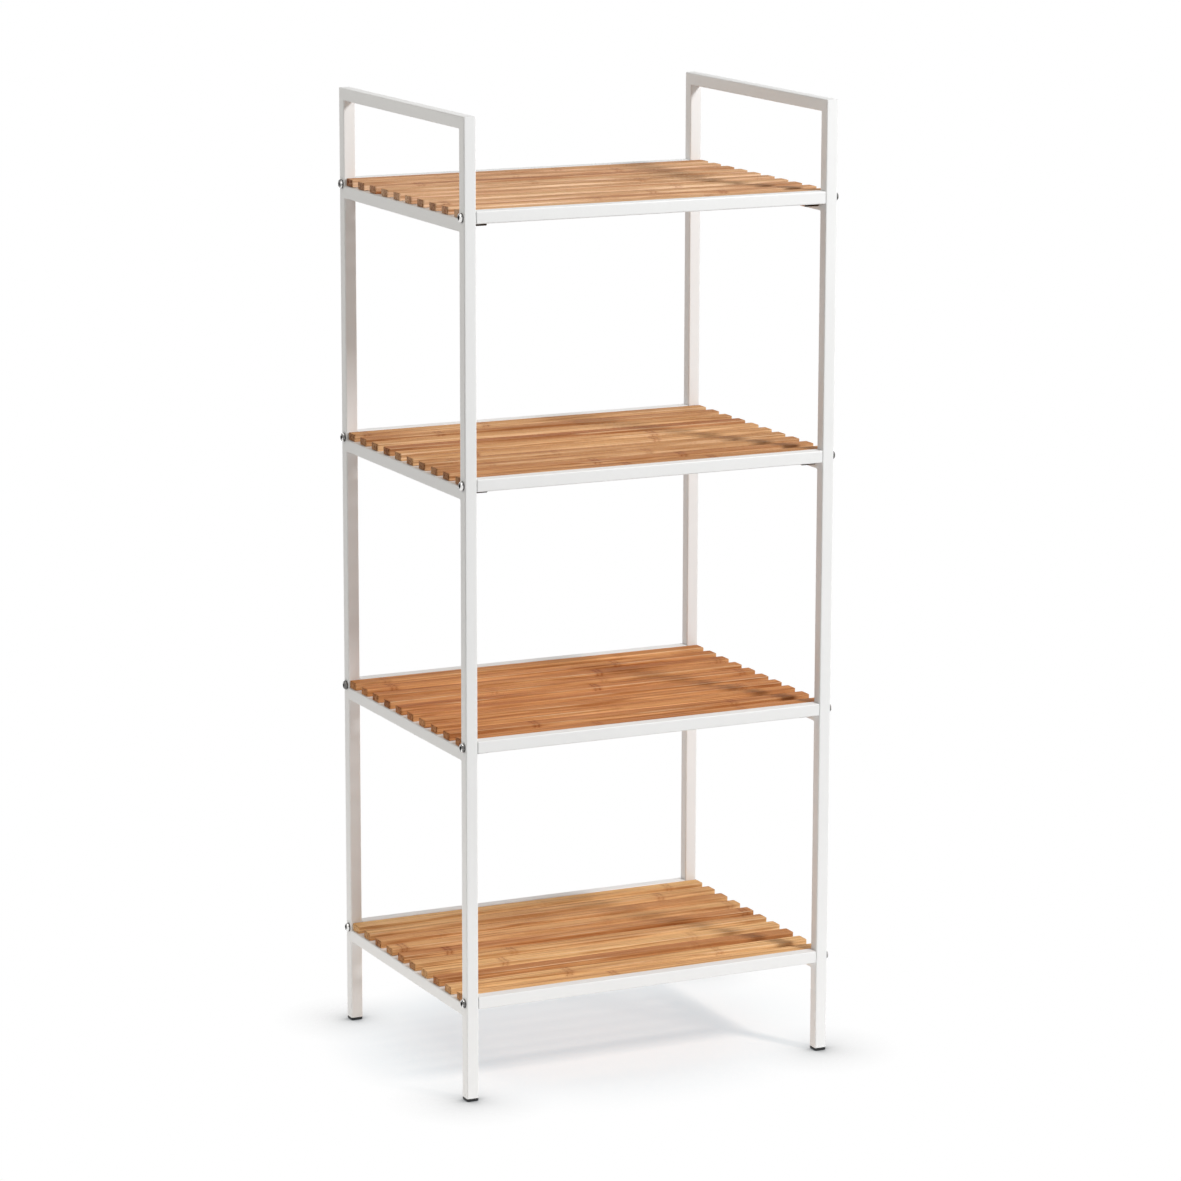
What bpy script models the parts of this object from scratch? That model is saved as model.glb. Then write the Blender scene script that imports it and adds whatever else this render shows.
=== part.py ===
"""Open shelving unit: two welded side frames of square steel tube, tied together at four levels by
screwed rails, with a slatted bamboo board that lifts out at each level.

Metres, +Z up. The origin lies on the floor at the middle of the footprint. X runs from left to right,
Y from front to back. Level 0 is the lowest shelf.
"""

import math

import bmesh
import bpy
from mathutils import Matrix

# Overall sizes of the frame
FRAME_WIDTH = 0.450
FRAME_DEPTH = 0.347
LEVELS = 4
LOWEST_RAIL_TOP = 0.119
SHELF_PITCH = 0.290
HANDLE_RISE = 0.101

# Square steel tube, the same stock everywhere
TUBE_SIDE = 0.014
TUBE_WALL = 0.0012
TUBE_CORNER = 0.0016
TUBE_BORE_CORNER = 0.0006
TUBE_CORNER_STEPS = 2

# Gaps between neighbours: a weld's root, a seat that only rests, and the play round a board
WELD_GAP = 0.0003
SEAT_GAP = 0.0003
BOARD_PLAY = 0.001

# Slatted board: slats across the width, their tops just below the rails', on two battens just
# inside the rungs
SLATS = 10
SLAT_WIDTH = 0.0175
SLAT_THICKNESS = 0.0083
SLAT_DROP = 0.0004
SLAT_SETBACK = 0.0005
SLAT_END_RADIUS = 0.0012
SLAT_END_STEPS = 3
BATTEN_WIDTH = 0.0170
BATTEN_THICKNESS = 0.0095
BATTEN_EDGE = 0.0010
BATTEN_EDGE_STEPS = 1
GLUE_BITE = 0.0002

# Button-head socket screw through an upright into the plate in a rail's end
SCREW_DIAMETER = 0.006
SCREW_TIP_CHAMFER = 0.0007
SCREW_TIP_REACH = 0.0025
HEAD_DIAMETER = 0.0105
HEAD_HEIGHT = 0.0033
HEAD_RIM = 0.0006
HEAD_TOP_DIAMETER = 0.0056
HEAD_DOME_STEPS = 3
SOCKET_ACROSS_FLATS = 0.004
SOCKET_DEPTH = 0.0019
SCREW_SIDES = 16
UPRIGHT_HOLE_PLAY = 0.0004
THREAD_GAP = 0.0003
END_PLATE = 0.004
HOLE_SIDES = 12

# Foot plug: a flange under the tube's end and a ridged stem inside it
FOOT_FLANGE = 0.003
FOOT_CHAMFER = 0.0008
STEM_LENGTH = 0.014
STEM_PLAY = 0.0008
RIDGE_PLAY = 0.0003
RIDGE_WIDTH = 0.002
RIDGES = 2

# How far a cutter runs past the face that it cuts, and the distance under which points are one
CUT_OVERRUN = 0.001
MERGE_DISTANCE = 0.000001
SHARP_ANGLE = math.radians(35)

# Sizes that follow
HEIGHT = LOWEST_RAIL_TOP + (LEVELS - 1) * SHELF_PITCH + HANDLE_RISE
TUBE_BORE = TUBE_SIDE - 2 * TUBE_WALL
INNER_WIDTH = FRAME_WIDTH - 2 * TUBE_SIDE
INNER_DEPTH = FRAME_DEPTH - 2 * TUBE_SIDE
RAIL_LENGTH = INNER_WIDTH - 2 * WELD_GAP
RUNG_LENGTH = INNER_DEPTH - 2 * WELD_GAP
BOARD_DEPTH = INNER_DEPTH - 2 * BOARD_PLAY
SLAT_LENGTH = FRAME_WIDTH - 2 * SLAT_SETBACK
SLAT_PITCH = (BOARD_DEPTH - SLAT_WIDTH) / (SLATS - 1)
SIDE_X = (FRAME_WIDTH - TUBE_SIDE) / 2
POST_Y = (FRAME_DEPTH - TUBE_SIDE) / 2
MITRE_BACKOFF = WELD_GAP / math.sqrt(2)
SCREW_LENGTH = SEAT_GAP + TUBE_SIDE + WELD_GAP + END_PLATE + SCREW_TIP_REACH

SIDES = (("left", -1), ("right", 1))
ENDS = (("front", -1), ("back", 1))
ALONG_X = (0, math.pi / 2, 0)
ALONG_Y = (-math.pi / 2, 0, 0)


def rail_top(level):
    return LOWEST_RAIL_TOP + level * SHELF_PITCH


def rail_axis(level):
    return rail_top(level) - TUBE_SIDE / 2


def slat_underside(level):
    return rail_top(level) - SLAT_DROP - SLAT_THICKNESS


def rung_axis(level):
    return slat_underside(level) - SEAT_GAP - TUBE_SIDE / 2


def clear_scene():
    for old in list(bpy.data.objects):
        bpy.data.objects.remove(old)


def material(name, colour, roughness, metallic):
    made = bpy.data.materials.new(name)
    made.use_nodes = True
    shader = made.node_tree.nodes["Principled BSDF"]
    shader.inputs["Base Color"].default_value = (*colour, 1)
    shader.inputs["Roughness"].default_value = roughness
    shader.inputs["Metallic"].default_value = metallic
    return made


def white_powder_coat():
    return material("white_powder_coat", (0.84, 0.84, 0.83), 0.45, 0)


def bamboo():
    return material("bamboo", (0.62, 0.37, 0.18), 0.55, 0)


def bright_steel():
    return material("bright_steel", (0.58, 0.58, 0.60), 0.28, 1)


def black_plastic():
    return material("black_plastic", (0.02, 0.02, 0.02), 0.6, 0)


def rounded_rectangle(width, height, radius, steps):
    """Points of a rectangle with round corners, about its centre and anticlockwise."""
    points = []
    for corner, (across, up) in enumerate(((1, 1), (-1, 1), (-1, -1), (1, -1))):
        for step in range(steps + 1):
            angle = (corner + step / steps) * math.pi / 2
            x = across * (width / 2 - radius) + radius * math.cos(angle)
            y = up * (height / 2 - radius) + radius * math.sin(angle)
            points.append((x, y))
    return points


def square_outline(side, corner):
    return rounded_rectangle(side, side, corner, TUBE_CORNER_STEPS)


def add_loop(bm, points, z=0):
    """A closed loop of edges through the points, at height z."""
    verts = [bm.verts.new((x, y, z)) for x, y in points]
    return [bm.edges.new((a, b)) for a, b in zip(verts, verts[1:] + verts[:1])]


def strip(bm, first, second):
    """Faces between two loops with as many edges, edge to edge."""
    faces = []
    for one, other in zip(first, second):
        (a, b), (c, d) = one.verts, other.verts
        faces.append(bm.faces.new((a, b, d, c)))
    return faces


def finish(bm, name):
    """The mesh of bm, with its faces turned out and its round stretches smooth."""
    bmesh.ops.recalc_face_normals(bm, faces=bm.faces)
    mesh = bpy.data.meshes.new(name)
    bm.to_mesh(mesh)
    bm.free()
    return smoothed(mesh)


def smoothed(mesh):
    mesh.shade_smooth()
    mesh.set_sharp_from_angle(angle=SHARP_ANGLE)
    return mesh


def pull(bm, faces, length):
    """Extrudes the faces along +Z and returns the moved vertices."""
    geometry = bmesh.ops.extrude_face_region(bm, geom=faces)["geom"]
    moved = [item for item in geometry if isinstance(item, bmesh.types.BMVert)]
    bmesh.ops.translate(bm, vec=(0, 0, length), verts=moved)
    return moved


def prism(name, outline, length):
    """A solid bar along +Z with the given outline."""
    bm = bmesh.new()
    edges = add_loop(bm, outline)
    faces = bmesh.ops.contextual_create(bm, geom=edges)["faces"]
    pull(bm, faces, length)
    return finish(bm, name)


def tube(name, length, start_slope=0, end_slope=0):
    """A square tube along +Z, open at both ends. A slope is how much its end rises along +Y."""
    bm = bmesh.new()
    outside = add_loop(bm, square_outline(TUBE_SIDE, TUBE_CORNER))
    inside = add_loop(bm, square_outline(TUBE_BORE, TUBE_BORE_CORNER))
    faces = strip(bm, outside, inside)
    start = list(bm.verts)
    end = pull(bm, faces, length)
    for vert in start:
        vert.co.z += start_slope * vert.co.y
    for vert in end:
        vert.co.z += end_slope * vert.co.y
    return finish(bm, name)


def loft(name, rings):
    """A solid through square rings, each given as its side, its corner radius and its height."""
    bm = bmesh.new()
    loops = [add_loop(bm, square_outline(side, corner), z) for side, corner, z in rings]
    for lower, upper in zip(loops, loops[1:]):
        strip(bm, lower, upper)
    for end in (loops[0], loops[-1]):
        bmesh.ops.contextual_create(bm, geom=end)
    return finish(bm, name)


def turned(name, profile, sides):
    """A solid turned about Z from a profile of (radius, height) that starts and ends on the axis."""
    bm = bmesh.new()
    verts = [bm.verts.new((radius, 0, z)) for radius, z in profile]
    edges = [bm.edges.new(pair) for pair in zip(verts, verts[1:])]
    bmesh.ops.spin(
        bm,
        geom=verts + edges,
        cent=(0, 0, 0),
        axis=(0, 0, 1),
        angle=2 * math.pi,
        steps=sides,
        use_merge=True,
    )
    bmesh.ops.remove_doubles(bm, verts=bm.verts, dist=MERGE_DISTANCE)
    return finish(bm, name)


def rod(name, diameter, length, sides, place):
    """A plain rod along the Z of the placing matrix, centred on its origin."""
    bm = bmesh.new()
    bmesh.ops.create_cone(
        bm,
        cap_ends=True,
        segments=sides,
        radius1=diameter / 2,
        radius2=diameter / 2,
        depth=length,
        matrix=place,
    )
    return finish(bm, name)


def helper(mesh):
    """An object that only takes part in a Boolean."""
    made = bpy.data.objects.new(mesh.name, mesh)
    made.hide_render = True
    made.display_type = "WIRE"
    bpy.context.scene.collection.objects.link(made)
    return made


def combined(mesh, others, operation):
    """The mesh after a Boolean with each of the others in turn."""
    body = helper(mesh)
    tools = [helper(other) for other in others]
    for tool in tools:
        modifier = body.modifiers.new(tool.name, "BOOLEAN")
        modifier.operation = operation
        modifier.solver = "EXACT"
        modifier.object = tool
    graph = bpy.context.evaluated_depsgraph_get()
    result = bpy.data.meshes.new_from_object(body.evaluated_get(graph))
    result.name = mesh.name
    for used in [body, *tools]:
        bpy.data.objects.remove(used)
    return smoothed(result)


def joined(name, meshes):
    """Separate meshes put into one, for a single Boolean."""
    bm = bmesh.new()
    for mesh in meshes:
        bm.from_mesh(mesh)
    return finish(bm, name)


def moved(mesh, matrix):
    mesh.transform(matrix)
    return mesh


def upright_mesh():
    """A corner post, open over its foot plug, mitred at the top and drilled at each level."""
    start = FOOT_FLANGE + SEAT_GAP
    centre_length = HEIGHT - TUBE_SIDE / 2 - MITRE_BACKOFF - start
    post = tube("upright", centre_length, end_slope=-1)
    diameter = SCREW_DIAMETER + 2 * UPRIGHT_HOLE_PLAY
    across = Matrix.Rotation(math.pi / 2, 4, "Y")
    drills = []
    for level in range(LEVELS):
        place = Matrix.Translation((0, 0, rail_axis(level) - start)) @ across
        drills.append(rod("drill", diameter, TUBE_SIDE + 2 * CUT_OVERRUN, HOLE_SIDES, place))
    return combined(post, [joined("drills", drills)], "DIFFERENCE")


def handle_bar_mesh():
    """The bar across the top of a side, mitred to both uprights."""
    length = FRAME_DEPTH - TUBE_SIDE - 2 * MITRE_BACKOFF
    return tube("handle_bar", length, start_slope=1, end_slope=-1)


def rung_mesh():
    return tube("rung", RUNG_LENGTH)


def rail_mesh():
    """A rail, hollow between two end plates that are tapped for the screws."""
    bar = prism("rail", square_outline(TUBE_SIDE, TUBE_CORNER), RAIL_LENGTH)
    hollow = prism("hollow", square_outline(TUBE_BORE, TUBE_BORE_CORNER), RAIL_LENGTH - 2 * END_PLATE)
    moved(hollow, Matrix.Translation((0, 0, END_PLATE)))
    middle = Matrix.Translation((0, 0, RAIL_LENGTH / 2))
    diameter = SCREW_DIAMETER + 2 * THREAD_GAP
    drill = rod("drill", diameter, RAIL_LENGTH + 2 * CUT_OVERRUN, HOLE_SIDES, middle)
    return combined(bar, [hollow, drill], "DIFFERENCE")


def screw_mesh():
    """A screw along Z, its head above z = 0 and its shank below, with a six-sided socket."""
    radius = SCREW_DIAMETER / 2
    profile = [
        (0, -SCREW_LENGTH),
        (radius - SCREW_TIP_CHAMFER, -SCREW_LENGTH),
        (radius, SCREW_TIP_CHAMFER - SCREW_LENGTH),
        (radius, 0),
        (HEAD_DIAMETER / 2, 0),
    ]
    for step in range(HEAD_DOME_STEPS + 1):
        angle = math.pi / 2 * step / HEAD_DOME_STEPS
        shoulder = (HEAD_DIAMETER - HEAD_TOP_DIAMETER) / 2 * math.cos(angle)
        rise = (HEAD_HEIGHT - HEAD_RIM) * math.sin(angle)
        profile.append((HEAD_TOP_DIAMETER / 2 + shoulder, HEAD_RIM + rise))
    profile.append((0, HEAD_HEIGHT))
    blank = turned("screw", profile, SCREW_SIDES)
    across_corners = SOCKET_ACROSS_FLATS / math.cos(math.pi / 6)
    depth = SOCKET_DEPTH + CUT_OVERRUN
    place = Matrix.Translation((0, 0, HEAD_HEIGHT + CUT_OVERRUN - depth / 2))
    socket = rod("socket", across_corners, depth, 6, place)
    return combined(blank, [socket], "DIFFERENCE")


def foot_mesh():
    """A plug with a flange under the upright's end and ridges that grip its bore."""
    stem = TUBE_BORE - 2 * STEM_PLAY
    ridge = TUBE_BORE - 2 * RIDGE_PLAY
    corner = TUBE_BORE_CORNER
    rings = [
        (TUBE_SIDE - 2 * FOOT_CHAMFER, TUBE_CORNER, 0),
        (TUBE_SIDE, TUBE_CORNER, FOOT_CHAMFER),
        (TUBE_SIDE, TUBE_CORNER, FOOT_FLANGE),
        (stem, corner, FOOT_FLANGE),
    ]
    for number in range(RIDGES):
        middle = FOOT_FLANGE + STEM_LENGTH * (number + 1) / (RIDGES + 1)
        rings.append((stem, corner, middle - RIDGE_WIDTH / 2))
        rings.append((ridge, corner, middle))
        rings.append((stem, corner, middle + RIDGE_WIDTH / 2))
    rings.append((stem, corner, FOOT_FLANGE + STEM_LENGTH))
    return loft("foot", rings)


def slat_mesh(number):
    """A slat along X with eased ends, its underside at z = 0."""
    outline = rounded_rectangle(SLAT_LENGTH, SLAT_THICKNESS, SLAT_END_RADIUS, SLAT_END_STEPS)
    slat = prism("slat", outline, SLAT_WIDTH)
    front = number * SLAT_PITCH - BOARD_DEPTH / 2
    place = Matrix.Translation((0, front, SLAT_THICKNESS / 2))
    return moved(slat, place @ Matrix.Rotation(-math.pi / 2, 4, "X"))


def batten_mesh(side):
    """A batten from front to back under the slats, just inside the rung of its side."""
    outline = rounded_rectangle(BATTEN_WIDTH, BATTEN_THICKNESS, BATTEN_EDGE, BATTEN_EDGE_STEPS)
    batten = prism("batten", outline, BOARD_DEPTH)
    x = side * (INNER_WIDTH / 2 - BOARD_PLAY - BATTEN_WIDTH / 2)
    z = GLUE_BITE - BATTEN_THICKNESS / 2
    place = Matrix.Translation((x, -BOARD_DEPTH / 2, z))
    return moved(batten, place @ Matrix.Rotation(-math.pi / 2, 4, "X"))


def board_mesh():
    """Ten slats glued on two battens. Its origin is at the middle of the slats' underside."""
    slats = joined("board", [slat_mesh(number) for number in range(SLATS)])
    battens = joined("battens", [batten_mesh(side) for _, side in SIDES])
    return combined(slats, [battens], "UNION")


def empty(name, location, parent=None):
    made = bpy.data.objects.new(name, None)
    made.location = location
    made.parent = parent
    bpy.context.scene.collection.objects.link(made)
    return made


def place_part(name, mesh, finish_material, parent, location, rotation=(0, 0, 0)):
    """One named piece of the unit, with a mesh that copies of it may share."""
    made = bpy.data.objects.new(name, mesh)
    if not mesh.materials:
        mesh.materials.append(finish_material)
    made.location = location
    made.rotation_euler = rotation
    made.parent = parent
    bpy.context.scene.collection.objects.link(made)
    return made


def build_side(name, side, root, meshes, paint, steel, plastic):
    """A welded side frame with its feet and the screws that go in through it."""
    frame = empty(f"side_{name}", (side * SIDE_X, 0, 0), root)
    for end_name, end in ENDS:
        post_y = end * POST_Y
        half_turn = (0, 0, math.pi if end > 0 else 0)
        foot_top = FOOT_FLANGE + SEAT_GAP
        label = f"{name}_{end_name}"
        place_part(f"upright_{label}", meshes["upright"], paint, frame, (0, post_y, foot_top), half_turn)
        place_part(f"foot_{label}", meshes["foot"], plastic, frame, (0, post_y, 0))
        for level in range(LEVELS):
            seat = (side * (TUBE_SIDE / 2 + SEAT_GAP), post_y, rail_axis(level))
            outward = (0, side * math.pi / 2, 0)
            place_part(f"screw_{label}_{level}", meshes["screw"], steel, frame, seat, outward)
    bar_start = (0, MITRE_BACKOFF - POST_Y, HEIGHT - TUBE_SIDE / 2)
    place_part(f"handle_bar_{name}", meshes["handle_bar"], paint, frame, bar_start, ALONG_Y)
    for level in range(LEVELS):
        rung_start = (0, -RUNG_LENGTH / 2, rung_axis(level))
        place_part(f"rung_{name}_{level}", meshes["rung"], paint, frame, rung_start, ALONG_Y)


def build_level(level, root, meshes, paint, wood):
    """The front and back rails of a level, and the board that lies between them on the rungs."""
    for end_name, end in ENDS:
        rail_start = (-RAIL_LENGTH / 2, end * POST_Y, rail_axis(level))
        place_part(f"rail_{end_name}_{level}", meshes["rail"], paint, root, rail_start, ALONG_X)
    place_part(f"board_{level}", meshes["board"], wood, root, (0, 0, slat_underside(level)))


def build_unit():
    clear_scene()
    paint = white_powder_coat()
    wood = bamboo()
    steel = bright_steel()
    plastic = black_plastic()
    meshes = {
        "upright": upright_mesh(),
        "handle_bar": handle_bar_mesh(),
        "rung": rung_mesh(),
        "rail": rail_mesh(),
        "screw": screw_mesh(),
        "foot": foot_mesh(),
        "board": board_mesh(),
    }
    root = empty("shelving_unit", (0, 0, 0))
    for name, side in SIDES:
        build_side(name, side, root, meshes, paint, steel, plastic)
    for level in range(LEVELS):
        build_level(level, root, meshes, paint, wood)


build_unit()
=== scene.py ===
"""The open shelving unit dressed for its portrait: powder-coated tube, slatted bamboo boards, bright
screws and black feet, on a pale studio floor. Metres, +Z up, X from left to right, Y from front to back.
"""

import math
import random

import bmesh
import bpy
from mathutils import Matrix, Vector


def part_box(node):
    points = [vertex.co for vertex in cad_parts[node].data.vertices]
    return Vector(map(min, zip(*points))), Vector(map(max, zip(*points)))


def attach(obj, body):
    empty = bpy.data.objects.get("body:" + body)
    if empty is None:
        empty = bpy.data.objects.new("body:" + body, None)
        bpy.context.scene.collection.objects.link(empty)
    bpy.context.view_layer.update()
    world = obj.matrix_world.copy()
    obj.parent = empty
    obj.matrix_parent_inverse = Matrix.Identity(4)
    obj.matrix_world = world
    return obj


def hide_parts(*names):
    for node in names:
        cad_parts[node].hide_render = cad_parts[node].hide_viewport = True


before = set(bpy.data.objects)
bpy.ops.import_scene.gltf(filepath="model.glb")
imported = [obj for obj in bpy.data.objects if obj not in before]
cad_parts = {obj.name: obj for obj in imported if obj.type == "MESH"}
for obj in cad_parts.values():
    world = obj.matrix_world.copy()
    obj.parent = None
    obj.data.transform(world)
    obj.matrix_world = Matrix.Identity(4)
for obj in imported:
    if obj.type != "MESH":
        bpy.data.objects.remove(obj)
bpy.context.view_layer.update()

MM = 0.001
LEVELS = range(4)
SIDES = (("left", -1), ("right", 1))
ENDS = (("front", -1), ("back", 1))

# Camera: fitted to the photograph's edges, with no lens shift
CAMERA_PLACE = (-2.1723, -4.5697, 1.5968)
CAMERA_YAW = math.radians(25.4986)
CAMERA_PITCH = math.radians(-11.9579)
CAMERA_ROLL = math.radians(0.1253)
CAMERA_LENS = 138.719
SENSOR = 36.0

# Tube: the frame's stock, with rounder corners than its solids, small welds and rounded rail ends
TUBE_SIDE = 14.0 * MM
TUBE_WALL = 1.2 * MM
TUBE_CORNER = 1.6 * MM
BORE_CORNER = 0.6 * MM
CORNER_STEPS = 4
WELD_GAP = 0.3 * MM
WELD_LEG = 0.9 * MM
WELD_STEPS = 4
RAIL_RIM = 1.1 * MM
RAIL_RIM_STEPS = 4

# Slats: they follow the boards' solids, with worn edges and the small play of joinery
SLATS = 10
SLAT_WIDTH = 17.5 * MM
SLAT_THICKNESS = 8.3 * MM
SLAT_EDGE = 0.45 * MM
SLAT_HALF_LENGTH = 224.5 * MM
SLAT_EDGE_STEPS = 3
END_RADIUS = 1.0 * MM
END_CORNER = 2.4 * MM
END_STEPS = 8
END_SOAK = 223.5 * MM
BATTEN_WIDTH = 18.0 * MM
BATTEN_THICKNESS = 9.5 * MM
BATTEN_EDGE = 1.0 * MM
BATTEN_EDGE_STEPS = 3
BATTEN_RIM_SHARE = 0.6
BATTEN_CENTRES = (-200.8 * MM, 201.4 * MM)

# Play of the slats, in millimetres: how much shorter than the longest, askew as a share of that, higher
# or lower, and nearer to the front or back
SLAT_SHORTER = 0.6
SLAT_SKEW_SHARE = 0.5
SLAT_LIFT = 0.1
SLAT_LEAN = 0.25

# Bamboo: the strips that a slat is glued from, and the rings of the cane
STRIP_WIDTH = 5.9 * MM
CANE_PITCH = 190.0 * MM
SCAR_FROM_RING = 2.7 * MM

# Screws
HEAD_RADIUS = 5.25 * MM
HEAD_HEIGHT = 3.3 * MM
HEAD_RIM = 0.6 * MM
HEAD_TOP_RADIUS = 2.85 * MM
SOCKET_FLATS = 4.0 * MM
SOCKET_DEPTH = 1.9 * MM
SHANK_RADIUS = 2.95 * MM
SHANK_LENGTH = 21.0 * MM
THREAD_PITCH = 1.0 * MM
THREAD_DEPTH = 0.45 * MM
THREAD_START = 0.6 * MM
THREAD_SPARE = 1.4 * MM
RINGS_A_PITCH = 4
LEAD_IN_RINGS = 5
RUN_OUT_RINGS = 3
HEAD_SIDES = 48
DOME_STEPS = 8
HEAD_BREAK = 0.25 * MM
HEAD_BREAK_RISE = 0.22 * MM
NECK_LENGTH = 0.4 * MM
NECK_FILLET = 0.05 * MM
NECK_FILLET_RISE = 0.1 * MM
TIP_SHARES = (0.4, 0.8)
SOCKET_BREAK = 0.3 * MM
SOCKET_BREAK_RISE = 0.02 * MM
SOCKET_BREAK_DEPTH = 0.18 * MM
SOCKET_POINT_RADIUS = 0.3 * MM
SOCKET_POINT_DEPTH = 0.5 * MM
SCREW_KINDS = 4
FIRST_SPIN = 4
SPIN_STEP = 17

# Seeds of the boards' and the screws' variety
BOARD_SEED = 4100
SCREW_SEED = 77

# Stage: where the floor goes to white, as shares of an oval round the feet, and the shade under a foot
FLOOR_RADIUS = 1.5
FLOOR_SIDES = 96
FLOOR_PLACE = (0, 0, -0.0002)
FOOTPRINT_SCALE = (3.7, 4.1, 1.0)
FADE_START = 0.55
FADE_END = 1.2
CONTACT_REACH = 0.09
CONTACT_POWER = 1.8
CONTACT_SAMPLES = 12

# Light: the key lamp's direction, distance, size and watts, and a warm white for its helpers
KEY_AZIMUTH = math.radians(30.5)
KEY_ELEVATION = math.radians(34)
KEY_DISTANCE = 3.4
KEY_AIM = (0, 0, 0.6)
KEY_SIZE = (0.4, 0.62)
KEY_WATTS = 83.0
WARM = (1.0, 0.94, 0.85)


# Node trees


class Tree:
    """A material's or the world's node tree, built one node at a time."""

    def __init__(self, owner):
        owner.use_nodes = True
        self.tree = owner.node_tree
        self.tree.nodes.clear()

    def add(self, kind, inputs=None, **settings):
        made = self.tree.nodes.new(kind)
        for key, value in settings.items():
            setattr(made, key, value)
        for key, value in (inputs or {}).items():
            self.feed(made.inputs[key], value)
        return made

    def feed(self, socket, value):
        if isinstance(value, bpy.types.NodeSocket):
            self.tree.links.new(value, socket)
        else:
            socket.default_value = value

    def math(self, operation, a, b=0.0, clamp=False):
        return self.add("ShaderNodeMath", {0: a, 1: b}, operation=operation, use_clamp=clamp).outputs[0]

    def ramp(self, value, low, high, to_low=0.0, to_high=1.0):
        made = self.add("ShaderNodeMapRange", {"Value": value, "From Min": low, "From Max": high})
        made.inputs["To Min"].default_value = to_low
        made.inputs["To Max"].default_value = to_high
        made.interpolation_type = "SMOOTHSTEP"
        return made.outputs[0]

    def split(self, vector):
        return self.add("ShaderNodeSeparateXYZ", {0: vector}).outputs

    def scaled(self, vector, scale):
        return self.add("ShaderNodeVectorMath", {0: vector, 1: scale}, operation="MULTIPLY").outputs[0]

    def noise(self, vector, scale, detail=2.0, roughness=0.5, distortion=0.0):
        inputs = {"Vector": vector, "Scale": scale, "Detail": detail, "Roughness": roughness}
        inputs["Distortion"] = distortion
        return self.add("ShaderNodeTexNoise", inputs).outputs[0]

    def dice(self, vector, number):
        """A value from 0 to 1 that is the same for the same vector and number."""
        inputs = {"Vector": vector, "W": number}
        return self.add("ShaderNodeTexWhiteNoise", inputs, noise_dimensions="4D").outputs["Value"]

    def mix(self, factor, a, b, blend="MIX"):
        made = self.add("ShaderNodeMix", data_type="RGBA", blend_type=blend)
        self.feed(made.inputs[0], factor)
        self.feed(made.inputs[6], a)
        self.feed(made.inputs[7], b)
        return made.outputs[2]

    def attribute(self, name):
        return self.add("ShaderNodeAttribute", attribute_name=name)

    def bump(self, height, distance, strength):
        inputs = {"Height": height, "Distance": distance, "Strength": strength}
        return self.add("ShaderNodeBump", inputs).outputs[0]

    def surface(self, shader):
        self.add("ShaderNodeOutputMaterial", {"Surface": shader})


def new_material(name):
    made = bpy.data.materials.new(name)
    return made, Tree(made)


def rgb(red, green, blue):
    return (red, green, blue, 1.0)


# Materials


def powder_coat():
    """White epoxy powder: a fine orange peel, and a slow drift of sheen from the oven."""
    made, t = new_material("white_powder_coat")
    place = t.add("ShaderNodeTexCoord").outputs["Object"]
    peel = t.noise(place, 950.0, 2.0, 0.55)
    cloud = t.noise(place, 9.0, 3.0, 0.5)
    speck = t.noise(place, 2600.0, 1.0, 0.5)
    colour = t.mix(cloud, rgb(0.820, 0.826, 0.823), rgb(0.855, 0.861, 0.861))
    rough = t.ramp(cloud, 0.3, 0.7, 0.36, 0.46)
    height = t.math("ADD", peel, t.math("MULTIPLY", speck, 0.25))
    normal = t.bump(height, 0.03 * MM, 0.6)
    shader = t.add(
        "ShaderNodeBsdfPrincipled",
        {"Base Color": colour, "Roughness": rough, "Normal": normal, "Specular IOR Level": 0.5},
    )
    t.surface(shader.outputs[0])
    return made


def cane_rings(t, along, lot, pitch):
    """(scar, halo) of the rings of a cane that lies along X: two thin lines in a darker patch."""
    cell = t.math("DIVIDE", along, pitch)
    chance = t.dice(lot, t.math("FLOOR", cell))
    spot = t.ramp(chance, 0.0, 1.0, 0.2, 0.8)
    power = t.ramp(t.math("FRACT", t.math("MULTIPLY", chance, 7.31)), 0.15, 0.95)
    gap = t.math("ABSOLUTE", t.math("SUBTRACT", t.math("FRACT", cell), spot))
    gap = t.math("MULTIPLY", gap, pitch)
    from_line = t.math("ABSOLUTE", t.math("SUBTRACT", gap, SCAR_FROM_RING))
    line = t.ramp(from_line, 0.7 * MM, 1.6 * MM, 1.0, 0.0)
    halo = t.ramp(gap, 3.5 * MM, 8.0 * MM, 1.0, 0.0)
    return t.math("MULTIPLY", line, power), t.math("MULTIPLY", halo, power)


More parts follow.
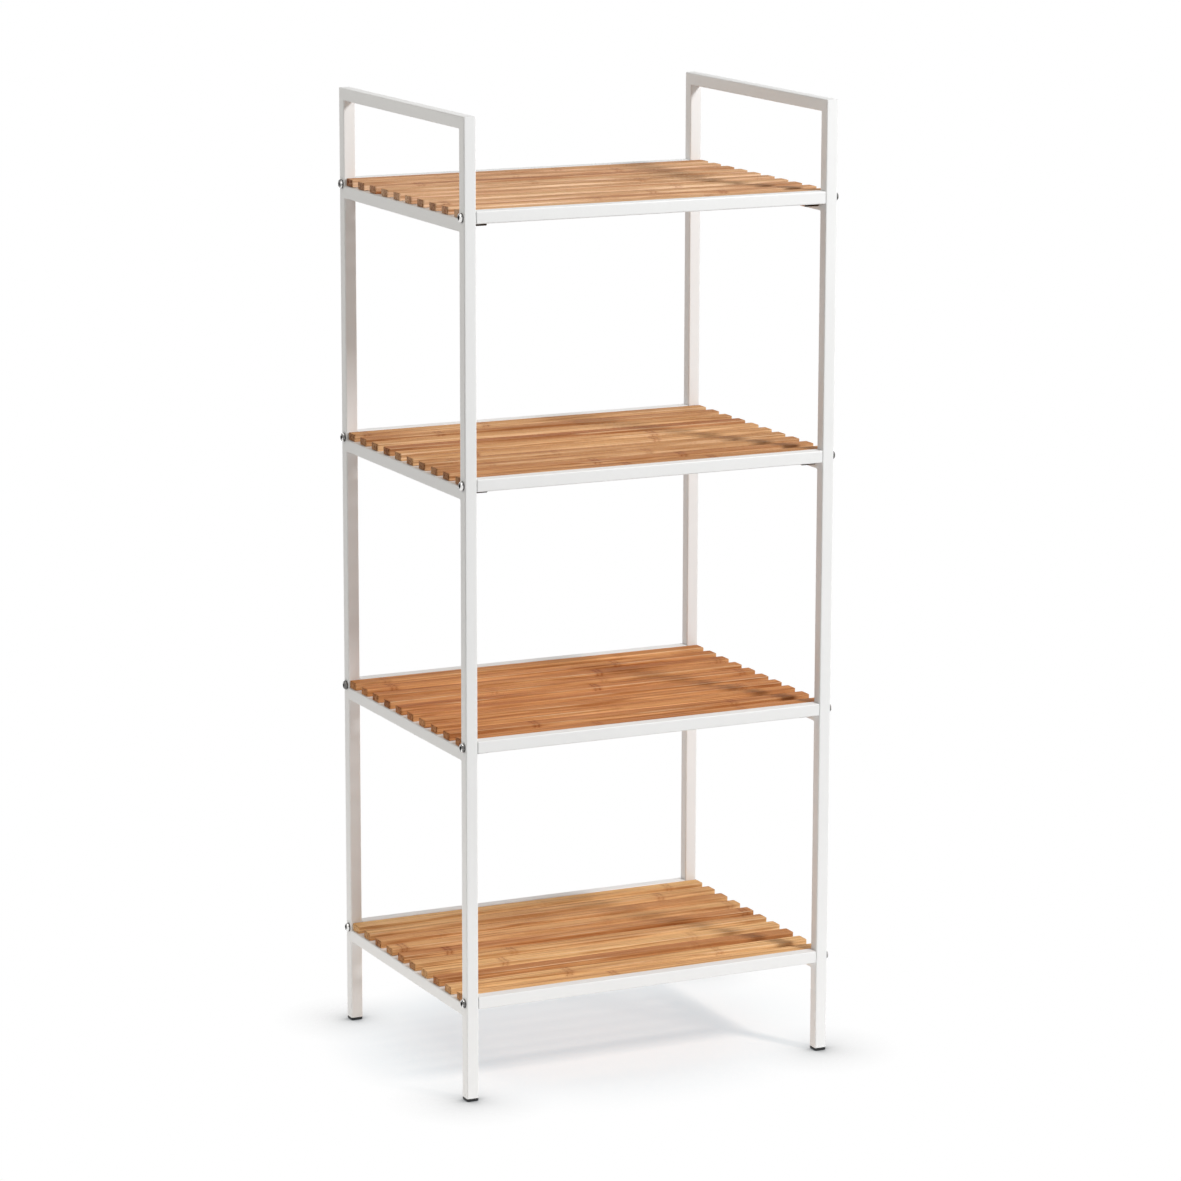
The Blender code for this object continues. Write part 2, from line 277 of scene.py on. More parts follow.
def bamboo():
    """Laminated bamboo, oiled. The mesh carries "spot", a point in the slat with X along it and the
    rest from its front lower edge; "lot", which sets each slat's own cut; "oil_and_side_light", how strongly
    the tops are darkened and the sides paled, partly for the oiling that the tops have taken more of and
    partly as painted light that lifts the shade on the slats' sides; and "tone" and "tint"."""
    made, t = new_material("oiled_bamboo")
    spot = t.attribute("spot").outputs["Vector"]
    lot = t.attribute("lot").outputs["Vector"]
    tint = t.attribute("tint").outputs["Color"]
    tone = t.attribute("tone").outputs["Fac"]
    oil_and_side_light = t.attribute("oil_and_side_light").outputs["Fac"]
    grain = t.add("ShaderNodeVectorMath", {0: spot, 1: lot}, operation="ADD").outputs[0]
    local_x, local_y, local_z = t.split(spot)
    along, across, _ = t.split(grain)
    # The strips that a slat is glued from
    strip = t.dice(lot, t.math("FLOOR", t.math("DIVIDE", across, STRIP_WIDTH)))
    # Fibres, streaks and slow drift of colour
    hair = t.noise(t.scaled(grain, (14.0, 2600.0, 2600.0)), 1.0, 2.0, 0.6)
    fibre = t.noise(t.scaled(grain, (7.0, 900.0, 900.0)), 1.0, 3.0, 0.6)
    streak = t.noise(t.scaled(grain, (5.0, 330.0, 330.0)), 1.0, 3.0, 0.6, 0.25)
    drift = t.noise(t.scaled(grain, (6.0, 75.0, 75.0)), 1.0, 2.0, 0.5)
    wobble = t.math("MULTIPLY", t.noise(t.scaled(grain, (0.0, 230.0, 230.0)), 1.0, 2.0, 0.5), 3.0 * MM)
    scar, halo = cane_rings(t, t.math("ADD", along, wobble), lot, CANE_PITCH)
    broken = t.ramp(t.noise(t.scaled(grain, (190.0, 420.0, 420.0)), 1.0, 2.0, 0.6), 0.36, 0.54, 0.25, 1.0)
    burn = t.noise(t.scaled(grain, (9.0, 240.0, 240.0)), 1.0, 2.0, 0.5)
    # Colour
    pale = rgb(0.700, 0.365, 0.135)
    deep = rgb(0.440, 0.160, 0.047)
    shade = t.math("ADD", tone, t.ramp(strip, 0.0, 1.0, -0.2, 0.2))
    shade = t.math("ADD", shade, t.ramp(drift, 0.25, 0.75, -0.25, 0.25), clamp=True)
    body = t.mix(shade, pale, deep)
    dark = t.mix(1.0, body, rgb(0.52, 0.36, 0.25), "MULTIPLY")
    light = t.mix(1.0, body, rgb(1.28, 1.40, 1.65), "MULTIPLY")
    body = t.mix(t.ramp(streak, 0.51, 0.68, 0.0, 0.9), body, dark)
    body = t.mix(t.ramp(streak, 0.32, 0.47, 0.7, 0.0), body, light)
    body = t.mix(t.ramp(fibre, 0.52, 0.68, 0.0, 0.65), body, dark)
    body = t.mix(t.ramp(fibre, 0.32, 0.46, 0.65, 0.0), body, light)
    body = t.mix(t.ramp(hair, 0.53, 0.68, 0.0, 0.5), body, dark)
    body = t.mix(t.ramp(burn, 0.64, 0.76, 0.0, 0.75), body, dark)
    ring = t.mix(1.0, body, rgb(0.46, 0.26, 0.20), "MULTIPLY")
    body = t.mix(t.math("MULTIPLY", halo, 0.42), body, ring)
    body = t.mix(t.math("MULTIPLY", t.math("MULTIPLY", scar, broken), 0.8), body, ring)
    # Some slats' front faces are darker, in streaky patches
    side = t.ramp(local_y, 0.3 * MM, 0.7 * MM, 1.0, 0.0)
    darker_front = t.ramp(t.noise(t.scaled(grain, (6.0, 0.0, 420.0)), 1.0, 2.0, 0.6), 0.40, 0.62)
    darker_front = t.math("MULTIPLY", t.math("MULTIPLY", side, darker_front), t.dice(lot, 11.0))
    body = t.mix(darker_front, body, dark)
    # Tops painted darker and sides paler: partly the oiling, which the tops have taken more of, and partly
    # painted light that lifts the shade falling on the slats' sides in the gaps
    top = t.ramp(local_z, SLAT_THICKNESS - 0.4 * MM, SLAT_THICKNESS - 0.1 * MM)
    oiled_and_side_lit = t.mix(top, rgb(1.08, 1.19, 1.40), rgb(0.92, 0.85, 0.75))
    body = t.mix(oil_and_side_light, body, oiled_and_side_lit, "MULTIPLY")
    # End grain: dark vessels in a browner ground
    vessel = t.add("ShaderNodeTexVoronoi", {"Vector": t.scaled(grain, (60.0, 1300.0, 1300.0)), "Scale": 1.0})
    dots = t.ramp(vessel.outputs["Distance"], 0.18, 0.45, 1.0, 0.0)
    blot = t.ramp(t.noise(t.scaled(grain, (40.0, 300.0, 300.0)), 1.0, 2.0, 0.5), 0.4, 0.62)
    ground = t.mix(blot, rgb(0.56, 0.44, 0.36), rgb(0.24, 0.13, 0.08))
    cut = t.mix(1.0, body, t.mix(dots, ground, rgb(0.16, 0.09, 0.06)), "MULTIPLY")
    end = t.ramp(t.math("ABSOLUTE", local_x), END_SOAK, END_SOAK + 0.5 * MM)
    end = t.math("MULTIPLY", end, t.ramp(t.dice(lot, 5.0), 0.0, 1.0, 0.35, 1.0))
    colour = t.mix(1.0, t.mix(end, body, cut), tint, "MULTIPLY")
    colour.node.clamp_result = True
    # Painted highlight: the top front edges, which face the light, are painted paler here and there
    corner = t.math("ADD", local_y, t.math("ABSOLUTE", t.math("SUBTRACT", local_z, SLAT_THICKNESS)))
    corner = t.ramp(corner, 0.35 * MM, 0.9 * MM, 1.0, 0.0)
    painted_edge_highlight = t.ramp(t.noise(t.scaled(grain, (7.0, 40.0, 40.0)), 1.0, 2.0, 0.5), 0.44, 0.64, 0.05, 0.8)
    colour = t.mix(t.math("MULTIPLY", corner, painted_edge_highlight), colour, rgb(0.82, 0.58, 0.36))
    rough = t.ramp(fibre, 0.3, 0.7, 0.48, 0.66)
    height = t.math("SUBTRACT", t.math("MULTIPLY", hair, 0.35), t.math("MULTIPLY", streak, 0.5))
    height = t.math("ADD", height, t.math("MULTIPLY", fibre, 0.5))
    height = t.math("SUBTRACT", height, t.math("MULTIPLY", scar, 0.4))
    normal = t.bump(height, 0.06 * MM, 0.8)
    shader = t.add(
        "ShaderNodeBsdfPrincipled",
        {"Base Color": colour, "Roughness": rough, "Normal": normal, "Specular IOR Level": 0.06},
    )
    # The oiled finish's sheen takes the wood's own colour
    shader.inputs["Specular Tint"].default_value = rgb(0.62, 0.33, 0.15)
    t.surface(shader.outputs[0])
    return made


def bright_steel():
    """Plated steel with painted reflections in bright and dark patches, and a socket and skirt painted
    near-black, partly oxide and partly painted shade.
    """
    made, t = new_material("bright_steel")
    place = t.add("ShaderNodeTexCoord").outputs["Object"]
    mark = t.noise(place, 1800.0, 3.0, 0.6)
    lot = t.attribute("lot").outputs["Vector"]
    moved = t.add("ShaderNodeVectorMath", {0: place, 1: lot}, operation="ADD").outputs[0]
    cloud = t.noise(moved, 230.0, 2.0, 0.5)
    _, _, height = t.split(place)
    flat = t.scaled(place, (1.0, 1.0, 0.0))
    radius = t.add("ShaderNodeVectorMath", {0: flat}, operation="LENGTH").outputs["Value"]
    socket = t.ramp(radius, 2.1 * MM, 2.6 * MM, 1.0, 0.0)
    skirt = t.ramp(height, 0.9 * MM, 1.6 * MM, 1.0, 0.0)
    socket_and_skirt_shade = t.math("MAXIMUM", socket, skirt)
    # Painted reflection: bright and dark patches stand in for the bright and dark surroundings mirrored in
    # the steel
    colour = t.mix(t.ramp(cloud, 0.46, 0.58), rgb(0.16, 0.155, 0.15), rgb(0.82, 0.81, 0.80))
    # Painted shade, partly oxide: the socket and the skirt under the head go near-black
    colour = t.mix(t.math("MULTIPLY", socket_and_skirt_shade, 0.9), colour, rgb(0.07, 0.068, 0.065))
    rough = t.ramp(mark, 0.3, 0.7, 0.12, 0.24)
    normal = t.bump(mark, 0.01 * MM, 0.5)
    shader = t.add(
        "ShaderNodeBsdfPrincipled",
        {"Base Color": colour, "Roughness": rough, "Normal": normal, "Metallic": 1.0},
    )
    t.surface(shader.outputs[0])
    return made


def black_plastic():
    """Moulded black plastic: a pebbled skin with dust in it."""
    made, t = new_material("black_plastic")
    place = t.add("ShaderNodeTexCoord").outputs["Object"]
    pebble = t.add("ShaderNodeTexVoronoi", {"Vector": place, "Scale": 1700.0}).outputs["Distance"]
    dust = t.noise(place, 220.0, 3.0, 0.6)
    colour = t.mix(t.ramp(dust, 0.5, 0.8), rgb(0.010, 0.010, 0.011), rgb(0.026, 0.025, 0.024))
    rough = t.ramp(dust, 0.3, 0.7, 0.45, 0.62)
    normal = t.bump(pebble, 0.03 * MM, 0.5)
    shader = t.add("ShaderNodeBsdfPrincipled", {"Base Color": colour, "Roughness": rough, "Normal": normal})
    t.surface(shader.outputs[0])
    return made


# Meshes


def rounded_rectangle(width, height, radius, steps):
    """Points of a rectangle with round corners, about its centre and anticlockwise."""
    points = []
    for corner, (across, up) in enumerate(((1, 1), (-1, 1), (-1, -1), (1, -1))):
        for step in range(steps + 1):
            angle = (corner + step / steps) * math.pi / 2
            x = across * (width / 2 - radius) + radius * math.cos(angle)
            y = up * (height / 2 - radius) + radius * math.sin(angle)
            points.append((x, y))
    return points


def edge_rings(depth, edge, steps):
    """(inset, height) of the rings of a bar along Z whose two rims are rounded by edge."""
    turns = [math.pi / 2 * step / steps for step in range(steps + 1)]
    start = [(edge * (1 - math.sin(a)), edge * (1 - math.cos(a))) for a in turns]
    return start + [(inset, depth - z) for inset, z in reversed(start)]


def stack(bm, rings, endless=False):
    """A closed shell through rings of points, all with the same count. Returns its vertices."""
    loops = [[bm.verts.new(point) for point in ring] for ring in rings]
    pairs = list(zip(loops, loops[1:]))
    if endless:
        pairs.append((loops[-1], loops[0]))
    else:
        bm.faces.new(list(reversed(loops[0])))
        bm.faces.new(loops[-1])
    for lower, upper in pairs:
        for i in range(len(lower)):
            j = (i + 1) % len(lower)
            bm.faces.new((lower[i], lower[j], upper[j], upper[i]))
    return [vert for loop in loops for vert in loop]


def bar(bm, width, height, radius, depth, edge, steps, edge_steps=3):
    """A bar along Z with a round-cornered outline and rounded rims."""
    rings = []
    for inset, z in edge_rings(depth, edge, edge_steps):
        outline = rounded_rectangle(width - 2 * inset, height - 2 * inset, radius - inset, steps)
        rings.append([(x, y, z) for x, y in outline])
    return stack(bm, rings)


def finish_mesh(name, bm, material, sharp=40):
    """A mesh whose normals lean to its larger faces, so that flats stay flat up to their round edges."""
    bmesh.ops.recalc_face_normals(bm, faces=bm.faces)
    mesh = bpy.data.meshes.new(name)
    bm.to_mesh(mesh)
    bm.free()
    mesh.materials.append(material)
    mesh.shade_smooth()
    limit = math.cos(math.radians(sharp))
    around = [[] for _ in mesh.vertices]
    for face in mesh.polygons:
        for vert in face.vertices:
            around[vert].append((face.normal.copy(), face.area))
    normals = [Vector()] * len(mesh.loops)
    for face in mesh.polygons:
        own = face.normal
        for index in face.loop_indices:
            near = around[mesh.loops[index].vertex_index]
            total = sum((way * area for way, area in near if own.dot(way) > limit), Vector())
            normals[index] = total.normalized()
    mesh.normals_split_custom_set(normals)
    return mesh


def add_piece(name, mesh, body, slot, *nodes):
    """An object that rides on a body and stands in for CAD nodes."""
    made = bpy.data.objects.new(name, mesh)
    bpy.context.scene.collection.objects.link(made)
    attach(made, body)
    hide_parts(*nodes)
    return made


# Tube


def build_hoop(side_name, material):
    """The two uprights of a side and the bar across them, welded at mitres and ground smooth."""
    nodes = [f"upright_{side_name}_front", f"handle_bar_{side_name}", f"upright_{side_name}_back"]
    low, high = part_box(nodes[0])
    x, front = (low.x + high.x) / 2, (low.y + high.y) / 2
    bar_low, bar_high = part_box(nodes[1])
    top = (bar_low.z + bar_high.z) / 2
    bore = TUBE_SIDE - 2 * TUBE_WALL
    rings = []
    for section in (
        rounded_rectangle(TUBE_SIDE, TUBE_SIDE, TUBE_CORNER, CORNER_STEPS),
        rounded_rectangle(bore, bore, BORE_CORNER, CORNER_STEPS),
    ):
        swept = [
            [(x + across, front - out, low.z) for across, out in section],
            [(x + across, front - out, top + out) for across, out in section],
            [(x + across, out - front, top + out) for across, out in section],
            [(x + across, out - front, low.z) for across, out in section],
        ]
        rings += reversed(swept) if rings else swept
    bm = bmesh.new()
    stack(bm, rings, endless=True)
    mesh = finish_mesh(f"hoop_{side_name}", bm, material)
    add_piece(f"hoop_{side_name}", mesh, "frame", "white_powder_coat", *nodes)


def build_rung(side_name, level, material):
    """A rung let into the round corners of its uprights, with a small weld above and below."""
    node = f"rung_{side_name}_{level}"
    low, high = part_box(node)
    x, z = (low.x + high.x) / 2, (low.z + high.z) / 2
    face = high.y + WELD_GAP
    run = [(face + TUBE_CORNER, WELD_LEG)]
    for step in range(WELD_STEPS + 1):
        angle = math.pi / 2 * (1 - step / WELD_STEPS)
        run.append((face - WELD_LEG * (1 - math.sin(angle)), WELD_LEG * (1 - math.cos(angle))))
    run += [(-y, swell) for y, swell in reversed(run)]
    section = rounded_rectangle(TUBE_SIDE, TUBE_SIDE, TUBE_CORNER, CORNER_STEPS)
    rings = []
    for y, swell in run:
        rings.append([(x + across, y, z + up + math.copysign(swell, up)) for across, up in section])
    bm = bmesh.new()
    stack(bm, rings)
    mesh = finish_mesh(f"welded_{node}", bm, material)
    add_piece(f"welded_{node}", mesh, "frame", "white_powder_coat", node)


def build_rail(end_name, level, material):
    node = f"rail_{end_name}_{level}"
    low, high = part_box(node)
    middle = (low + high) / 2
    bm = bmesh.new()
    length = high.x - low.x
    verts = bar(bm, TUBE_SIDE, TUBE_SIDE, TUBE_CORNER, length, RAIL_RIM, CORNER_STEPS, RAIL_RIM_STEPS)
    place = Matrix.Translation((low.x, middle.y, middle.z)) @ Matrix.Rotation(math.pi / 2, 4, "Y")
    bmesh.ops.transform(bm, matrix=place, verts=verts)
    mesh = finish_mesh(f"capped_{node}", bm, material)
    add_piece(f"capped_{node}", mesh, "frame", "white_powder_coat", node)


# Boards

# Each board's own colour, the middle and spread of its slats' tones, how strongly its tops are darkened and
# # its sides paled (oiling and painted light), and how far its slats sit to the right of its battens' middle
BOARD_TINTS = ((1.27, 1.53, 1.90), (1.08, 1.04, 1.07), (1.05, 1.17, 1.44), (1.17, 1.44, 2.15))
BOARD_TONES = ((0.36, 0.36), (0.46, 0.10), (0.42, 0.30), (0.34, 0.20))
BOARD_OIL_AND_SIDE_LIGHT = (0.3, 1.0, 1.0, 1.0)
BOARD_SHIFTS = (0.8 * MM, 0.0, 1.3 * MM, 1.3 * MM)


def slat_mesh(bm, length):
    """A slat along X from its front lower edge, with eased edges and rounded ends."""
    ends = []
    for step in range(END_STEPS + 1):
        inward = END_CORNER * (1 - math.cos(math.pi / 2 * step / END_STEPS))
        narrow = END_CORNER - math.sqrt(END_CORNER**2 - (END_CORNER - inward) ** 2)
        reach = max(0.0, END_RADIUS - inward)
        thin = END_RADIUS - math.sqrt(END_RADIUS**2 - reach**2)
        ends.append((inward, narrow, thin))
    ends = [(-length / 2 + inward, narrow, thin) for inward, narrow, thin in ends]
    ends += [(-x, narrow, thin) for x, narrow, thin in reversed(ends)]
    rings = []
    for x, narrow, thin in ends:
        width, thickness = SLAT_WIDTH - 2 * narrow, SLAT_THICKNESS - 2 * thin
        section = rounded_rectangle(width, thickness, SLAT_EDGE, SLAT_EDGE_STEPS)
        rings.append([(x, SLAT_WIDTH / 2 + y, SLAT_THICKNESS / 2 + z) for y, z in section])
    return stack(bm, rings)


def build_board(level, material):
    low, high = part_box(f"board_{level}")
    rng = random.Random(BOARD_SEED + level)
    bm = bmesh.new()
    layers = bm.verts.layers
    spot, lot = layers.float_vector.new("spot"), layers.float_vector.new("lot")
    tint, tone, oil_and_side_light = layers.float_color.new("tint"), layers.float.new("tone"), layers.float.new("oil_and_side_light")
    slat_bottom = high.z - SLAT_THICKNESS
    depth = high.y - low.y
    pitch = (depth - SLAT_WIDTH) / (SLATS - 1)
    middle, spread = BOARD_TONES[level]

    def paint(verts, to_spot, this_tone, to_tint):
        this_lot = Vector((rng.uniform(0, 40), rng.uniform(0, 4), rng.uniform(0, 4)))
        for vert in verts:
            vert[spot] = to_spot(vert.co)
            vert[lot] = this_lot
            vert[tone] = this_tone
            vert[oil_and_side_light] = BOARD_OIL_AND_SIDE_LIGHT[level]
            shade = to_tint(vert.co)
            vert[tint] = (*[channel * shade for channel in BOARD_TINTS[level]], 1.0)

    for number in range(SLATS):
        short = rng.uniform(0.0, SLAT_SHORTER) * MM
        skew = rng.uniform(-SLAT_SKEW_SHARE, SLAT_SKEW_SHARE) * short + BOARD_SHIFTS[level]
        lift = rng.uniform(-SLAT_LIFT, SLAT_LIFT) * MM
        # The outer slats lie flush with the board's edges
        lean = rng.uniform(-SLAT_LEAN, SLAT_LEAN) * MM if 0 < number < SLATS - 1 else 0.0
        y, base = low.y + number * pitch + lean, slat_bottom + lift
        length = 2 * SLAT_HALF_LENGTH - short
        verts = slat_mesh(bm, length)
        bmesh.ops.transform(bm, matrix=Matrix.Translation((skew, y, base)), verts=verts)
        this_tone = max(0.0, min(1.0, rng.gauss(middle, spread)))
        shade = rng.uniform(0.95, 1.05)
        stretch = 2 * SLAT_HALF_LENGTH / length
        paint(
            verts,
            lambda co: Vector(((co.x - skew) * stretch, co.y - y, co.z - base)),
            this_tone,
            lambda co: shade,
        )

    for x in BATTEN_CENTRES:
        rim = BATTEN_EDGE * BATTEN_RIM_SHARE
        verts = bar(bm, BATTEN_WIDTH, BATTEN_THICKNESS, BATTEN_EDGE, depth, rim, BATTEN_EDGE_STEPS)
        z = low.z + BATTEN_THICKNESS / 2
        place = Matrix.Translation((x, low.y, z)) @ Matrix.Rotation(-math.pi / 2, 4, "X")
        bmesh.ops.transform(bm, matrix=place, verts=verts)
        # A batten's grain runs from front to back. Its sawn ends are painted far darker than a slat's:
        # partly end grain, partly painted shade for the rail's shadow that falls on them
        stretch = 2 * SLAT_HALF_LENGTH / depth
        paint(
            verts,
            lambda co: Vector((co.y * stretch, co.x - x, co.z - low.z - BATTEN_THICKNESS)),
            middle,
            lambda co: 0.1 if abs(co.y) > depth / 2 - 0.5 * MM else 0.9,
        )
    mesh = finish_mesh(f"bamboo_board_{level}", bm, material)
    add_piece(f"bamboo_board_{level}", mesh, f"board_{level}", "bamboo", f"board_{level}")


# Screws


def circle(radius, z):
    turns = [2 * math.pi * i / HEAD_SIDES for i in range(HEAD_SIDES)]
    return [(radius * math.cos(a), radius * math.sin(a), z) for a in turns]


def hexagon(flats, z):
    points = []
    for i in range(HEAD_SIDES):
        angle = 2 * math.pi * i / HEAD_SIDES
        radius = flats / 2 / math.cos((angle % (math.pi / 3)) - math.pi / 6)
        points.append((radius * math.cos(angle), radius * math.sin(angle), z))
    return points


def thread_ring(z, cut):
    """A ring of the shank at height z: the whole thread where cut is 1, and only its root at 0."""
    ring = []
    for i in range(HEAD_SIDES):
        turn = i / HEAD_SIDES
        groove = 1.0 - abs(2.0 * ((z / THREAD_PITCH - turn) % 1.0) - 1.0)
        radius = SHANK_RADIUS - THREAD_DEPTH * (1 - cut * (1 - groove))
        ring.append((radius * math.cos(2 * math.pi * turn), radius * math.sin(2 * math.pi * turn), z))
    return ring


def screw_mesh(name, spin, material):
    """A button-head socket screw along Z: its head above z = 0 and its threaded shank below."""
    rings = [circle(share * SHANK_RADIUS, -SHANK_LENGTH) for share in TIP_SHARES]
    steps = int((SHANK_LENGTH - THREAD_SPARE) / THREAD_PITCH) * RINGS_A_PITCH
    for step in range(steps + 1):
        cut = min(1.0, step / LEAD_IN_RINGS, (steps - step) / RUN_OUT_RINGS)
        z = -SHANK_LENGTH + THREAD_START + step * THREAD_PITCH / RINGS_A_PITCH
        rings.append(thread_ring(z, cut))
    rings.append(circle(SHANK_RADIUS - THREAD_DEPTH, -NECK_LENGTH))
    rings.append(circle(SHANK_RADIUS - NECK_FILLET, -NECK_FILLET_RISE))
    rings.append(circle(SHANK_RADIUS, 0.0))
    rings.append(circle(HEAD_RADIUS - HEAD_BREAK, 0.0))
    rings.append(circle(HEAD_RADIUS, HEAD_BREAK_RISE))
    rings.append(circle(HEAD_RADIUS, HEAD_RIM))
    for step in range(1, DOME_STEPS + 1):
        angle = math.pi / 2 * step / DOME_STEPS
        shoulder = (HEAD_RADIUS - HEAD_TOP_RADIUS) * math.cos(angle)
        z = HEAD_RIM + (HEAD_HEIGHT - HEAD_RIM) * math.sin(angle)
        rings.append(circle(HEAD_TOP_RADIUS + shoulder, z))
    rings.append(circle(HEAD_TOP_RADIUS - HEAD_BREAK, HEAD_HEIGHT))
    rings.append(hexagon(SOCKET_FLATS + SOCKET_BREAK, HEAD_HEIGHT - SOCKET_BREAK_RISE))
    rings.append(hexagon(SOCKET_FLATS, HEAD_HEIGHT - SOCKET_BREAK_DEPTH))
    rings.append(hexagon(SOCKET_FLATS, HEAD_HEIGHT - SOCKET_DEPTH))
    rings.append(circle(SOCKET_POINT_RADIUS, HEAD_HEIGHT - SOCKET_DEPTH - SOCKET_POINT_DEPTH))
    bm = bmesh.new()
    lot = bm.verts.layers.float_vector.new("lot")
    verts = stack(bm, rings)
    bmesh.ops.transform(bm, matrix=Matrix.Rotation(spin, 4, "Z"), verts=verts)
    for vert in verts:
        vert[lot] = (10 * spin, 0.0, 0.0)
    return finish_mesh(name, bm, material, 38)


def build_screws(material):
    spins = [math.radians(FIRST_SPIN + SPIN_STEP * i) for i in range(SCREW_KINDS)]
    meshes = [screw_mesh(f"socket_screw_{i}", spin, material) for i, spin in enumerate(spins)]
    rng = random.Random(SCREW_SEED)
    for side_name, side in SIDES:
        for end_name, _ in ENDS:
            for level in LEVELS:
                node = f"screw_{side_name}_{end_name}_{level}"
                low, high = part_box(node)
                middle = (low + high) / 2
                seat = (high.x if side > 0 else low.x) - side * HEAD_HEIGHT
                made = add_piece(f"socket_{node}", rng.choice(meshes), "frame", "bright_steel", node)
                lay = Matrix.Rotation(side * math.pi / 2, 4, "Y")
                made.matrix_world = Matrix.Translation((seat, middle.y, middle.z)) @ lay


# Feet


def dress_feet(material):
    for name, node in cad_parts.items():
        if name.startswith("foot"):
            node.data.materials.clear()
            node.data.materials.append(material)


# Stage, light, camera


def seen_directly(t):
    """1 for rays from the camera, and for those that mirrors and glass send on."""
    path = t.add("ShaderNodeLightPath")
    seen = t.math("MAXIMUM", path.outputs["Is Camera Ray"], path.outputs["Is Glossy Ray"])
    return t.math("MAXIMUM", seen, path.outputs["Is Transmission Ray"])


def floor_material():
    """Pale and matt. Seen directly it goes to white away from the unit's footprint."""
    made, t = new_material("studio_floor")
    place = t.add("ShaderNodeTexCoord").outputs["Object"]
    away = t.scaled(place, FOOTPRINT_SCALE)
    away = t.add("ShaderNodeVectorMath", {0: away}, operation="LENGTH").outputs["Value"]
    plain = t.add("ShaderNodeBsdfDiffuse", {"Color": rgb(0.74, 0.74, 0.74)})
    # The shadow is neutral in spite of the wood's warm light: the paint and the lift cancel it
    seen = t.add("ShaderNodeBsdfDiffuse", {"Color": rgb(0.560, 0.484, 0.433)})
    lift = t.add("ShaderNodeEmission", {"Color": rgb(0.386, 0.502, 0.575), "Strength": 1.0})
    lifted = t.add("ShaderNodeAddShader", {0: seen.outputs[0], 1: lift.outputs[0]})
    # Painted shade: the white is darkened by ambient occlusion where a foot stands on it
    contact = t.add("ShaderNodeAmbientOcclusion", {"Distance": CONTACT_REACH}, samples=CONTACT_SAMPLES)
    shaded = t.math("POWER", contact.outputs["AO"], CONTACT_POWER)
    white = t.add("ShaderNodeEmission", {"Color": shaded, "Strength": 1.0})
    share = t.ramp(away, FADE_START, FADE_END)
    fade = t.add("ShaderNodeMixShader", {0: share, 1: lifted.outputs[0], 2: white.outputs[0]})
    shown = t.add("ShaderNodeMixShader", {0: seen_directly(t), 1: plain.outputs[0], 2: fade.outputs[0]})
    t.surface(shown.outputs[0])
    return made


def build_floor():
    bm = bmesh.new()
    bmesh.ops.create_circle(bm, cap_ends=True, segments=FLOOR_SIDES, radius=FLOOR_RADIUS)
    mesh = bpy.data.meshes.new("studio_floor")
    bm.to_mesh(mesh)
    bm.free()
    mesh.materials.append(floor_material())
    made = bpy.data.objects.new("studio_floor", mesh)
    made.location = FLOOR_PLACE
    bpy.context.scene.collection.objects.link(made)


# How bright the room is towards each side
ROOM = (((1, 0, 0), 0.40), ((-1, 0, 0), 0.16), ((0, -1, 0), 0.24), ((0, 1, 0), 1.02))


def build_world():
    world = bpy.data.worlds.new("studio")
    bpy.context.scene.world = world
    t = Tree(world)
    way = t.add("ShaderNodeTexCoord").outputs["Generated"]
    strength = 0.0
    for side, power in ROOM:
        facing = t.add("ShaderNodeVectorMath", {0: way, 1: side}, operation="DOT_PRODUCT").outputs["Value"]
        strength = t.math("ADD", strength, t.math("MULTIPLY", t.math("MAXIMUM", facing, 0.0), power))
    around = t.add("ShaderNodeBackground", {"Color": rgb(1.0, 0.98, 0.955), "Strength": strength})
    white = t.add("ShaderNodeBackground", {"Color": rgb(1, 1, 1), "Strength": 1.0})
    shown = t.add("ShaderNodeMixShader", {0: seen_directly(t), 1: around.outputs[0], 2: white.outputs[0]})
    t.add("ShaderNodeOutputWorld", {"Surface": shown.outputs[0]})


def area_lamp(name, place, aim, size, watts, colour=(1.0, 1.0, 1.0)):
    data = bpy.data.lights.new(name, "AREA")
    data.shape = "RECTANGLE"
    data.size, data.size_y = size
    data.energy = watts
    data.color = colour
    made = bpy.data.objects.new(name, data)
    made.location = place
    made.rotation_euler = (Vector(aim) - Vector(place)).to_track_quat("-Z", "Y").to_euler()
    made.visible_camera = False
    bpy.context.scene.collection.objects.link(made)
    return made


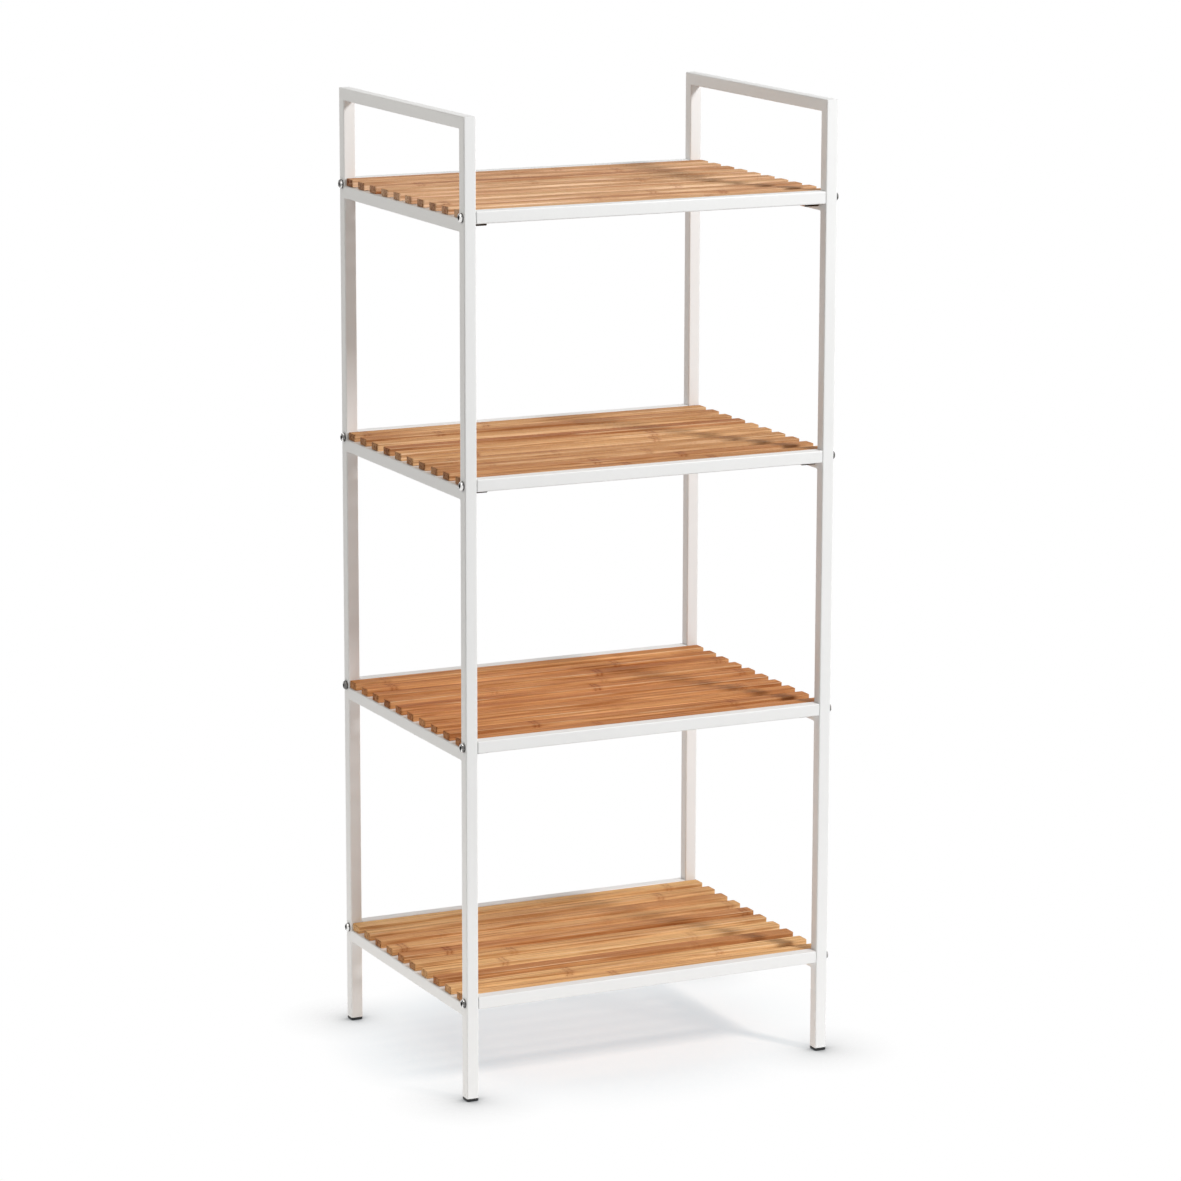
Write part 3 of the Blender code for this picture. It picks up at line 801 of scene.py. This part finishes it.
def build_lights():
    aim = Vector(KEY_AIM)
    way = Vector((
        math.sin(KEY_AZIMUTH) * math.cos(KEY_ELEVATION),
        -math.cos(KEY_AZIMUTH) * math.cos(KEY_ELEVATION),
        math.sin(KEY_ELEVATION),
    ))
    area_lamp("key", aim + way * KEY_DISTANCE, aim, KEY_SIZE, KEY_WATTS)
    # A soft lamp over the left side, white card on the floor, and a card low at the left
    area_lamp("top_left", (-1.25, -0.1, 1.75), (0, 0, 1.0), (0.4, 0.4), 3.3, WARM)
    area_lamp("under", (0, 0, 0.0004), (0, 0, 1), (1.24, 1.24), 1.9).visible_glossy = False
    area_lamp("low_left", (-0.7, 0, 0.12), (0, 0, 0.12), (0.7, 0.2), 0.45, WARM).visible_glossy = False


def build_camera():
    forward = Vector((
        math.sin(CAMERA_YAW) * math.cos(CAMERA_PITCH),
        math.cos(CAMERA_YAW) * math.cos(CAMERA_PITCH),
        math.sin(CAMERA_PITCH),
    ))
    level = Vector((math.cos(CAMERA_YAW), -math.sin(CAMERA_YAW), 0))
    upward = level.cross(forward)
    right = math.cos(CAMERA_ROLL) * level + math.sin(CAMERA_ROLL) * upward
    up = math.cos(CAMERA_ROLL) * upward - math.sin(CAMERA_ROLL) * level
    data = bpy.data.cameras.new("camera")
    data.sensor_width = SENSOR
    data.lens = CAMERA_LENS
    made = bpy.data.objects.new("camera", data)
    turn = Matrix((right, up, -forward)).transposed().to_4x4()
    made.matrix_world = Matrix.Translation(CAMERA_PLACE) @ turn
    bpy.context.scene.collection.objects.link(made)
    bpy.context.scene.camera = made


def build():
    paint = powder_coat()
    wood = bamboo()
    steel = bright_steel()
    plastic = black_plastic()
    build_camera()
    dress_feet(plastic)
    for side_name, _ in SIDES:
        build_hoop(side_name, paint)
    for level in LEVELS:
        build_board(level, wood)
        for side_name, _ in SIDES:
            build_rung(side_name, level, paint)
        for end_name, _ in ENDS:
            build_rail(end_name, level, paint)
    build_screws(steel)
    build_floor()
    build_world()
    build_lights()
    bpy.context.scene.view_settings.view_transform = "Standard"


build()
